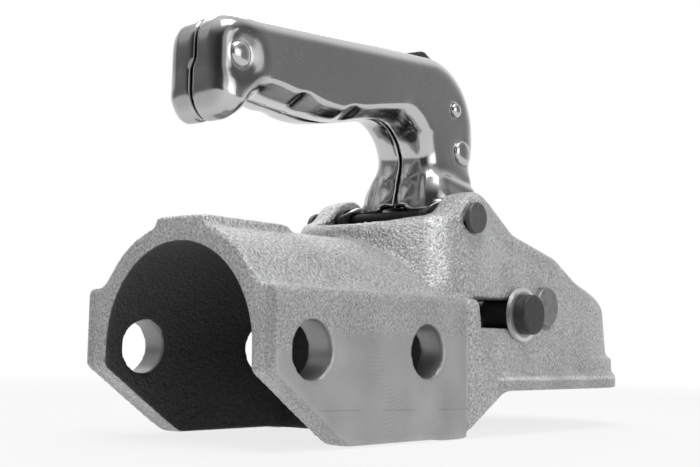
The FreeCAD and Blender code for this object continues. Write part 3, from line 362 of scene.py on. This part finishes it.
# %% Grip
grip_round = 6.9  # radius of the solid's long edges
round_middle = 6.3  # how far from the seam that radius has its middle
finger_line = [(-163.0, 0.0), (-152.0, 0.7), (-143.5, 0.1), (-138.0, 0.3), (-130.0, -0.2),
               (-123.0, -0.2), (-115.5, 0.5), (-108.0, 0.3), (-99.0, 0.7), (-92.0, 0.0)]
finger_flats = [(-139.6, 81.5), (-115.2, 81.6)]


def firm_edge(moved, x, side, away, z):
    """Fill the round below the flank, so that it turns later and tighter."""
    underside = 81.0 - (x + 159.1) * 0.078 if x < -122.0 else 78.1 + (x + 122.0) * 0.213
    out, down = side - round_middle, underside + grip_round - z
    if out > 0 and down > 0:
        turn = math.degrees(math.atan2(down, out))
        grown = 0.12 * swell(turn, 27.0, 16.0) * ramp(x, -162.0, -156.0) * ramp(-x, 84.0, 92.0)
        moved.y += away * out * grown
        moved.z -= down * grown


def finger_forms(moved, x, side, away, z):
    """The heel that hangs lower, the hollows and the two flats between them."""
    moved.z -= 2.0 * ramp(-x, 166.5, 171.0) * ramp(-z, -80.0, -71.0)
    edge = (ramp(side, 5.0, 11.5) * swell(z, 80.5, 4.5)
            * ramp(x, -166.0, -158.0) * ramp(-x, 88.0, 94.0))
    lift = along_points(x, finger_line) * edge
    moved.z += lift
    moved.y -= away * 0.35 * lift
    facing = Vector((0.0, 0.5 * away, -0.866))
    for middle, up in finger_flats:
        bend = ((x - middle) / 4.6) ** 2 * 1.3
        proud = (moved - Vector((middle, 9.1 * away, up))).dot(facing) - bend
        if side > 5.0:
            moved -= facing * max(proud, 0.0)


print("hollows:", len(finger_flats) + 1, "flats:", len(finger_flats))

# %% [markdown]
# Below the grip the two sheets narrow to a neck and flare out again to a foot that hides in
# the housing. The press left pillows and ribs there, a fold where the flank runs out, and a
# seam that steps aside on the end of the grip. All of them are under 2 mm, so they are
# moved into the sheet by the same kind of rule.

# %% Neck, foot and seam
def foot_forms(moved, x, side, away, z):
    """Pillows and ribs behind the neck, and the fold beside it."""
    rear = ramp(-x, 66.0, 72.0) * ramp(-z, -72.0, -66.0)
    moved.x -= rear * 1.8 * swell(side, 4.6, 2.4) * (swell(z, 66.0, 3.0) + swell(z, 57.0, 3.5))
    moved.x += rear * 1.0 * swell(side, 9.2 + (70.0 - z) * 0.12, 1.2) * swell(z, 61.0, 8.0)
    moved.y -= away * rear * 0.8 * (swell(side, 13.2 + (70.0 - z) * 0.16, 1.3)
                                    * swell(z, 61.0, 9.0))
    from_fold = z - (69.3 - (x + 73.8) * 0.23)
    flank = ramp(side, 10.0, 12.5) * ramp(x, -76.0, -70.0)
    moved.y -= away * flank * (0.8 * swell(from_fold, 0.8, 1.3)
                               - 0.5 * swell(from_fold, -2.2, 1.8))


def press(spot):
    """Where a spot of the sheet ends up, in millimetres."""
    x, y, z = spot
    moved = Vector((x, y, z))
    for form in (firm_edge, finger_forms, foot_forms):
        form(moved, x, abs(y), 1 if y > 0 else -1, z)
    grip_end = ramp(-x, 170.0, 175.0) * swell(y, 0.0, 3.2)
    moved.y += grip_end * (0.9 - 1.7 * ramp(z, 86.9, 88.6))
    return moved


print("the seam steps aside by", round(press((-175.0, 0.0, 80.0)).y, 1), "mm")

# %% [markdown]
# A solid comes with a few long faces that cannot bend. Subdividing them would crowd the
# corners, so a copy is remeshed to even faces, its spots are moved by the rule, and a few
# rounds of smoothing take away the marks of the remeshing. Only then is it a new piece.

# %% Copies that can be shaped
def even_copy(name, source, grain):
    """Merge the loose triangles of a copy of a node and remesh it to even faces."""
    clay = bmesh.new()
    clay.from_mesh(nodes[source].data)
    bmesh.ops.remove_doubles(clay, verts=clay.verts, dist=0.01 * MM)
    piece = piece_from(name, clay)
    voxels = piece.modifiers.new("even_faces", "REMESH")
    voxels.mode = "VOXEL"
    voxels.voxel_size = grain * MM
    settle_modifiers(piece)
    return piece


def settle_modifiers(piece):
    """Take what the modifiers of a piece make as its mesh."""
    piece.data = bpy.data.meshes.new_from_object(
        piece.evaluated_get(bpy.context.evaluated_depsgraph_get()))
    piece.modifiers.clear()


def shaped_copy(name, source, grain, move, rounds, softer=None, more_rounds=30, kept=1.0):
    """An even copy of a node with its spots moved and smoothed, more so where it is softer."""
    piece = even_copy(name, source, grain)
    clay = bmesh.new()
    clay.from_mesh(piece.data)
    for vertex in clay.verts:
        vertex.co = move(vertex.co / MM) * MM
    groups = [(rounds, clay.verts[:])]
    if softer:
        groups.append((more_rounds, [v for v in clay.verts if softer(v.co / MM)]))
    for times, spots in groups:
        for _ in range(times):
            bmesh.ops.smooth_vert(clay, verts=spots, factor=0.5, use_axis_x=True,
                                  use_axis_y=True, use_axis_z=True)
    for face in clay.faces:
        face.smooth = True
    clay.to_mesh(piece.data)
    clay.free()
    if kept < 1.0:
        # Flat places need few faces, so the count goes down where it shows least
        fewer = piece.modifiers.new("fewer_faces", "DECIMATE")
        fewer.ratio = kept
        settle_modifiers(piece)
    print(name, sum(len(face.vertices) - 2 for face in piece.data.polygons), "triangles")
    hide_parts(source)
    return piece


# %% [markdown]
# The two half shells of the handle are zinc-plated steel sheet. They could share one mesh,
# mirrored, but the seam steps aside and the thumb catch comes out between them, so each is
# made from its own solid. The dish round the tip rivet and the start of the flare are
# smoothed longer, because the press drew the sheet most there.

# %% Handle shells
tip_rivet_place = (-168.2, 90.4)
catch_pin_place = (-58.6, 91.8)
neck_rivet_place = (-54.1, 76.6)


def in_deep_draw(spot):
    """The start of the flared foot, and the dish round the tip rivet."""
    flare = 66.0 < spot.z < 82.0 and -95.0 < spot.x < -52.0 and abs(spot.y) > 1.2
    from_rivet = math.hypot(spot.x - tip_rivet_place[0], spot.z - tip_rivet_place[1])
    return flare or (4.8 < from_rivet < 13.0 and abs(spot.y) > 7.0)


shells = [shaped_copy("pressed_shell_" + side, "handle_shell_" + side, 0.8, press, 5,
                      in_deep_draw)
          for side in ("near", "far")]
for shell in shells:
    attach(shell, "handle")

# %% [markdown]
# Sand cannot hold a knife edge, so every border of the casting is round and every valley is
# filled. Bevels on the solid fail where three roundings meet. The same remeshing rounds the
# whole housing at once, a little more on the lugs and the crest, and the rim of the handle
# pocket dips behind the pivot as the photograph shows.

# %% Casting
def settle(spot):
    """Where a spot of the casting ends up, in millimetres."""
    x, y, z = spot
    dip = ramp(z, 44.0, 53.0) * (4.2 * swell(x, -84.0, 8.0) + 1.5 * swell(x, -75.0, 4.0))
    foot = ramp(-z, 18.0, 24.0) * ramp(-x, 100.0, 108.0) * ramp(abs(y), 29.0, 31.0)
    return Vector((x, y, z - dip + 0.5 * foot))


def in_lugs(spot):
    """The lugs, the arch before them and the pad on the crest, which are softest."""
    return (spot.z > 42.0 and spot.x > -97.0) or (spot.z > 36.0 and spot.x < -118.0)


casting = shaped_copy("soft_casting", "housing", 0.85, settle, 2, in_lugs, 5, 0.7)
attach(casting, "housing")

# %% [markdown]
# The thumb catch is a blackened lever that stands out of the handle's top. Its corners are
# worn round from use, which the same copy gives without moving any spot.

# %% Thumb catch
thumb_catch = shaped_copy("thumb_catch", "safety_catch", 0.5, lambda spot: spot, 5)
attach(thumb_catch, "catch")

# %% [markdown]
# The rivets are turned pins whose ends were pressed to a low dome. Half a sphere would be
# too high. A dome is a short profile spun round the axis, which stays perfectly round
# however close the view comes.

# %% Rivets
dome_height = 1.6
dome_steps = 7


def rivet(source, place, radius, shank):
    """A pin across the handle with a dome on each side."""
    along, up = place
    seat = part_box(source)[1].y / MM - dome_height
    brim = seat + 0.25
    profile = [(seat - 0.4, shank), (seat - 0.4, radius * 0.96), (brim, radius)]
    for step in range(1, dome_steps):
        angle = math.radians(90 * step / dome_steps)
        profile.append((brim + (dome_height - 0.25) * math.sin(angle), radius * math.cos(angle)))
    profile.append((seat + dome_height, 0.0))
    turn = bmesh.new()
    spots = [turn.verts.new(mm(along, -across, up + out)) for across, out in reversed(profile)]
    spots += [turn.verts.new(mm(along, across, up + out)) for across, out in profile]
    edges = [turn.edges.new(pair) for pair in zip(spots, spots[1:])]
    bmesh.ops.spin(turn, geom=spots + edges, cent=mm(along, 0, up), axis=(0, 1, 0),
                   angle=math.tau, steps=40, use_merge=True)
    bmesh.ops.remove_doubles(turn, verts=turn.verts, dist=0.005 * MM)
    bmesh.ops.recalc_face_normals(turn, faces=turn.faces)
    for face in turn.faces:
        face.smooth = True
    print(source, len(turn.faces), "faces")
    piece = piece_from(source + "_dome", turn)
    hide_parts(source)
    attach(piece, "handle")
    return piece


rivets = [rivet("tip_rivet", tip_rivet_place, 3.9, 2.5),
          rivet("catch_pin", catch_pin_place, 2.7, 2.0),
          rivet("neck_rivet", neck_rivet_place, 4.6, 2.2)]

# %% [markdown]
# The housing is one casting, but not one surface: the bore and the inside of the head get painted
# shade, the holes are drilled, the side lands are milled below a ragged border, and the pin seats
# are spot-faced. Painting these zones would need a map. They all have simple shapes, so each is a
# mask worked out from its distance to an axis or a plane.

# %% Zones of the casting
cast = Finish("plated_casting", grey(0.5), 0.45, 0.5)
side_way = abs(cast.y)
over_axis = (cast.z - 4.0).at_least(0.0)
from_axis = (cast.y * cast.y + over_axis * over_axis) ** 0.5
inner_bore = from_axis.below(30.95, 0.5) * cast.x.below(-96.8, 0.6) * cast.x.above(-179.7, 0.5)
behind = (-84.0 - cast.x).at_least(0.0)
from_pocket = (behind * behind + cast.y * cast.y) ** 0.5
inner_head = from_pocket.below(22.25, 0.3) * cast.x.below(-33.9, 0.3)
ball_seat = ((cast.x * cast.x + cast.y * cast.y + cast.z * cast.z) ** 0.5).below(25.6, 0.2)
rear_hole, front_hole = (cast.ring_round(along, 4.0).below(8.6, 0.3) for along in (-165.0, -111.0))
hole_walls = rear_hole.at_least(front_hole) * side_way.above(30.8, 0.2)
border = cast.z + (cast.noise(1.3, 3.0) - 0.5) * 9.0 + (cast.x + 171.0).below(0.0, 8.0) * 5.5
milled = side_way.above(39.4, 0.4) * border.below(9.2, 2.2) * cast.x.below(-89.4, 0.4)
spot_face = cast.ring_round(-78.0, 49.3).below(10.6, 0.2) * side_way.above(34.3, 0.1)
smooth = milled.at_least(hole_walls).at_least(spot_face * 0.4).at_least(ball_seat)
rough = 1.0 - smooth
# painted shade: mask of the bore and the inside of the head, which are darkened as if unlit
inside_shade_mask = inner_bore.at_least(inner_head) * (1.0 - hole_walls)
print("nodes for the zones:", len(cast.tree.nodes))

# %% [markdown]
# Three tones change with the place and not with the grain, and all of them are painted light. The
# corner of each lug gets a painted highlight, the foot flange has a painted highlight on its edge
# over painted shade on its side, and the lands get painted shade that makes them a little darker
# than the head. A lamp could draw them, but it would brighten what lies beside them too, so they
# are painted into the tone of the metal.

# %% Painted highlights and shade
under_head = cast.x.above(-73.0, 1.0) * rough
# painted highlight along the edge of the foot flange, and painted shade on its side below
ledge_painted_highlight = under_head * abs(cast.z + 4.6).below(0.6, 0.5)
below_ledge_painted_shade = under_head * cast.z.below(-5.4, 0.6)
along_lug, across_lug = cast.x + 93.5, side_way - 30.6
from_corner = (along_lug * along_lug + across_lug * across_lug) ** 0.5
# painted highlight on the corner of each lug
lug_painted_highlight = from_corner.below(3.8, 4.0) * cast.z.above(25.0, 5.0)
# painted shade that makes the side lands darker than the head
land_painted_shade = side_way.above(36.0, 1.0) * cast.x.below(-89.0, 1.0)
# painted light: the highlights and the shade are folded into the tone of the metal
painted_light_tone = 1.0 + lug_painted_highlight * 0.7 + ledge_painted_highlight * 0.5 - below_ledge_painted_shade * 0.22 - land_painted_shade * 0.18
print("nodes after the places:", len(cast.tree.nodes))

# %% [markdown]
# Sand leaves a skin of shallow pits about a millimetre wide, and the plating makes it glitter.
# Milling leaves faint arcs and one scratch. The bore and the inside of the head are painted nearly
# black as shade, and drilled walls are a plain machined grey. One noise for each size of grain is
# enough, shared by colour, gloss and relief, so that pits are dark, dull and deep at once.

# %% Cast finish
skin = cast.noise(1.0, 3.0, rough=0.55)
lumps = cast.noise(2.6, 2.0)
clouds = cast.noise(16.0, 2.0)
sparks = cast.noise(0.7, 1.0)
cutter_path = cast.ring_round(-136.0, 26.0) * 5.2
cutter_marks = cast.make("Math", {"operation": "SINE"}, cutter_path)
faint_arcs = cutter_marks * milled * cast.noise(18.0, 1.0).above(0.55, 0.2) * 0.012
from_scratch = abs(cast.z + 13.2 + (cast.x + 135.0) * 0.02)
scratch = from_scratch.below(0.14, 0.12) * milled * cast.noise(9.0, 1.0).above(0.42, 0.1)
pale = (0.44 + (skin - 0.5) * 0.6 + (sparks - 0.5) * 0.95 + (clouds - 0.5) * 0.3) * rough
plain = (0.42 + (clouds - 0.5) * 0.4 + faint_arcs + (sparks - 0.5) * 0.1) * smooth
tone = (pale + plain) * (1.0 - scratch * 0.45) * painted_light_tone
silver = cast.mix(tone.at_most(1.0), (0.16, 0.16, 0.163), (0.94, 0.945, 0.95))
# painted shade: a near-black tone for the bore and the inside of the head
inside_painted_shade = cast.mix(skin, (0.035, 0.035, 0.036), (0.1, 0.1, 0.102))
drilled = cast.mix(clouds, (0.2, 0.2, 0.203), (0.4, 0.4, 0.405))
cast.feed(Base_Color=cast.mix(hole_walls, cast.mix(inside_shade_mask, silver, inside_painted_shade), drilled),
          Metallic=0.6 * (1.0 - inside_shade_mask),
          Roughness=0.42 - (sparks - 0.5) * 0.6 * rough + inside_shade_mask * 0.3)
cast.bump(((skin - 0.5) * 0.7 + (lumps - 0.5) * 0.4) * rough + faint_arcs * 0.5, 1.4)
dress(cast, casting)

# %% [markdown]
# Bright zinc plating is a mirror that has been through a press: smooth, but never flat, and with
# fine handling marks. A plain mirror looks like chrome. Broad weak noise bends the reflections,
# specks dull them here and there, the dish, the grip's end and the foot get painted shade that
# darkens their reflections, and the sheet deep in the housing is painted nearly black as shadow.

# %% Plated handle finish
bright = Finish("plated_sheet", grey(0.5), 1.0, 0.17)
film = bright.noise(22.0, 3.0)
specks = bright.noise(0.8, 2.0).above(0.68, 0.1) * bright.noise(14.0, 1.0).above(0.5, 0.3)
plate = bright.mix(film * 0.5 + specks * 0.6, (0.5, 0.5, 0.502), (0.62, 0.62, 0.625))
from_rivet = bright.ring_round(*tip_rivet_place)
dish = from_rivet.below(10.5, 5.0) * from_rivet.above(5.0, 1.0)
# painted shade: darker plating in the dish, at the grip's end and on the foot
painted_shade = (dish * 0.7).at_least(bright.x.below(-175.0, 4.0) * 0.5)
painted_shade = painted_shade.at_least(bright.z.below(72.0, 8.0) * 0.35)
# painted shadow: the sheet below the pocket rim is near-black, dull and less metallic
deep_painted_shadow = bright.z.below(54.0, 1.0)
bright.feed(Base_Color=bright.mix(deep_painted_shadow, bright.mix(painted_shade, plate, (0.14, 0.14, 0.141)),
                                  (0.03, 0.03, 0.031)),
            Metallic=1.0 - 0.8 * deep_painted_shadow,
            Roughness=0.12 + film * 0.1 + specks * 0.15 + deep_painted_shadow * 0.35)
bright.bump(bright.noise(11.0, 2.0), 0.12)
dress(bright, *shells, *rivets)

# %% [markdown]
# The small steel parts differ in one thing, how worn they are: the bolt head and the catch are
# blackened, the pivot pin is dark, the turned pins are dull grey, and what lies inside is greased
# and darkened further with painted shade. Each could have its own tree, but one recipe fits all: a
# noise that runs from a dark tone to a light one, the same noise in the gloss, and a darker tone
# painted in the middle of the object as grease and shade.

# %% Small steel parts
def small_steel(name, metal, grain, dark, light, gloss, wear, relief, shaded_within=0.0,
                shade_and_grease_tone=None):
    """A finish that runs between two tones, with its middle painted in a third one as grease and
    shade.
    """
    finish = Finish(name, dark, metal, gloss)
    rub = finish.noise(grain, 3.0)
    colour, dullness = finish.mix(rub, dark, light), gloss + rub * wear
    if shade_and_grease_tone:
        # painted shade and grease: the middle of the object gets the third, darker tone
        shade_and_grease_mask = abs(finish.y).below(shaded_within, 0.5)
        colour, dullness = finish.mix(shade_and_grease_mask, colour, shade_and_grease_tone), dullness + shade_and_grease_mask * 0.2
    finish.feed(Base_Color=colour, Roughness=dullness)
    if relief:
        finish.bump(finish.noise(relief[0], 2.0), relief[1])
    return finish


dress(small_steel("black_bolt", 0.3, 1.2, (0.02, 0.02, 0.021), (0.07, 0.07, 0.071), 0.3, 0.35,
                  (1.6, 0.25)),
      "locking_bolt", thumb_catch)
# the last two numbers give the width and the tone of the painted shade and grease in the middle
dress(small_steel("dark_pin", 0.8, 1.5, (0.09, 0.09, 0.092), (0.2, 0.2, 0.203), 0.32, 0.3,
                  (2.2, 0.15), 33.0, (0.012, 0.012, 0.012)),
      "pivot_pin")
dress(small_steel("turned_steel", 0.85, 2.5, (0.16, 0.16, 0.163), (0.36, 0.36, 0.365), 0.3, 0.3,
                  (3.0, 0.2), 24.0, (0.03, 0.03, 0.031)),
      "jaw_pin", "pivot_spacer_near", "pivot_spacer_far", "jaw_spacer_near", "jaw_spacer_far",
      "tip_spacer", "neck_spacer")
# dark tones for the parts inside: grease and painted shade
dress(small_steel("greased_and_shaded_steel", 0.7, 4.0, (0.07, 0.07, 0.071), (0.22, 0.22, 0.223), 0.28,
                  0.35, None),
      "spring_guide", "locking_slide", "clamping_jaw", "locking_spring", "catch_spring")

# %% [markdown]
# The washer under the bolt head is bright, and its rim gets a painted highlight. A second piece
# for the rim isn't needed: a mask by the distance from the bolt's axis paints it paler, and the
# nut on the far side shares the finish.

# %% Washer and nut
bolt_place = (-53.5, 17.4)
washer = Finish("bright_washer", grey(0.6), 0.9, 0.33)
# painted highlight: the rim of the washer is painted paler
rim_painted_highlight = washer.ring_round(*bolt_place).above(8.0, 0.8)
spun = washer.noise(1.4, 2.0)
face_tone = washer.mix(spun, (0.3, 0.3, 0.303), (0.42, 0.42, 0.425))
washer.feed(Base_Color=washer.mix(rim_painted_highlight, face_tone, (0.85, 0.85, 0.855)),
            Roughness=0.25 + spun * 0.2)
dress(washer, "washer_near", "washer_far", "bolt_nut")

# %% [markdown]
# Opening the lever draws the slide back on its spring. A coil cannot follow as a stiff body, and
# its turns could only be drawn anew for one position. The frame can flatten a piece as a joint
# moves; here the coil only gets a mesh of its own.

# %% Spring with its own mesh
coil = nodes["locking_spring"]
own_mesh(coil)
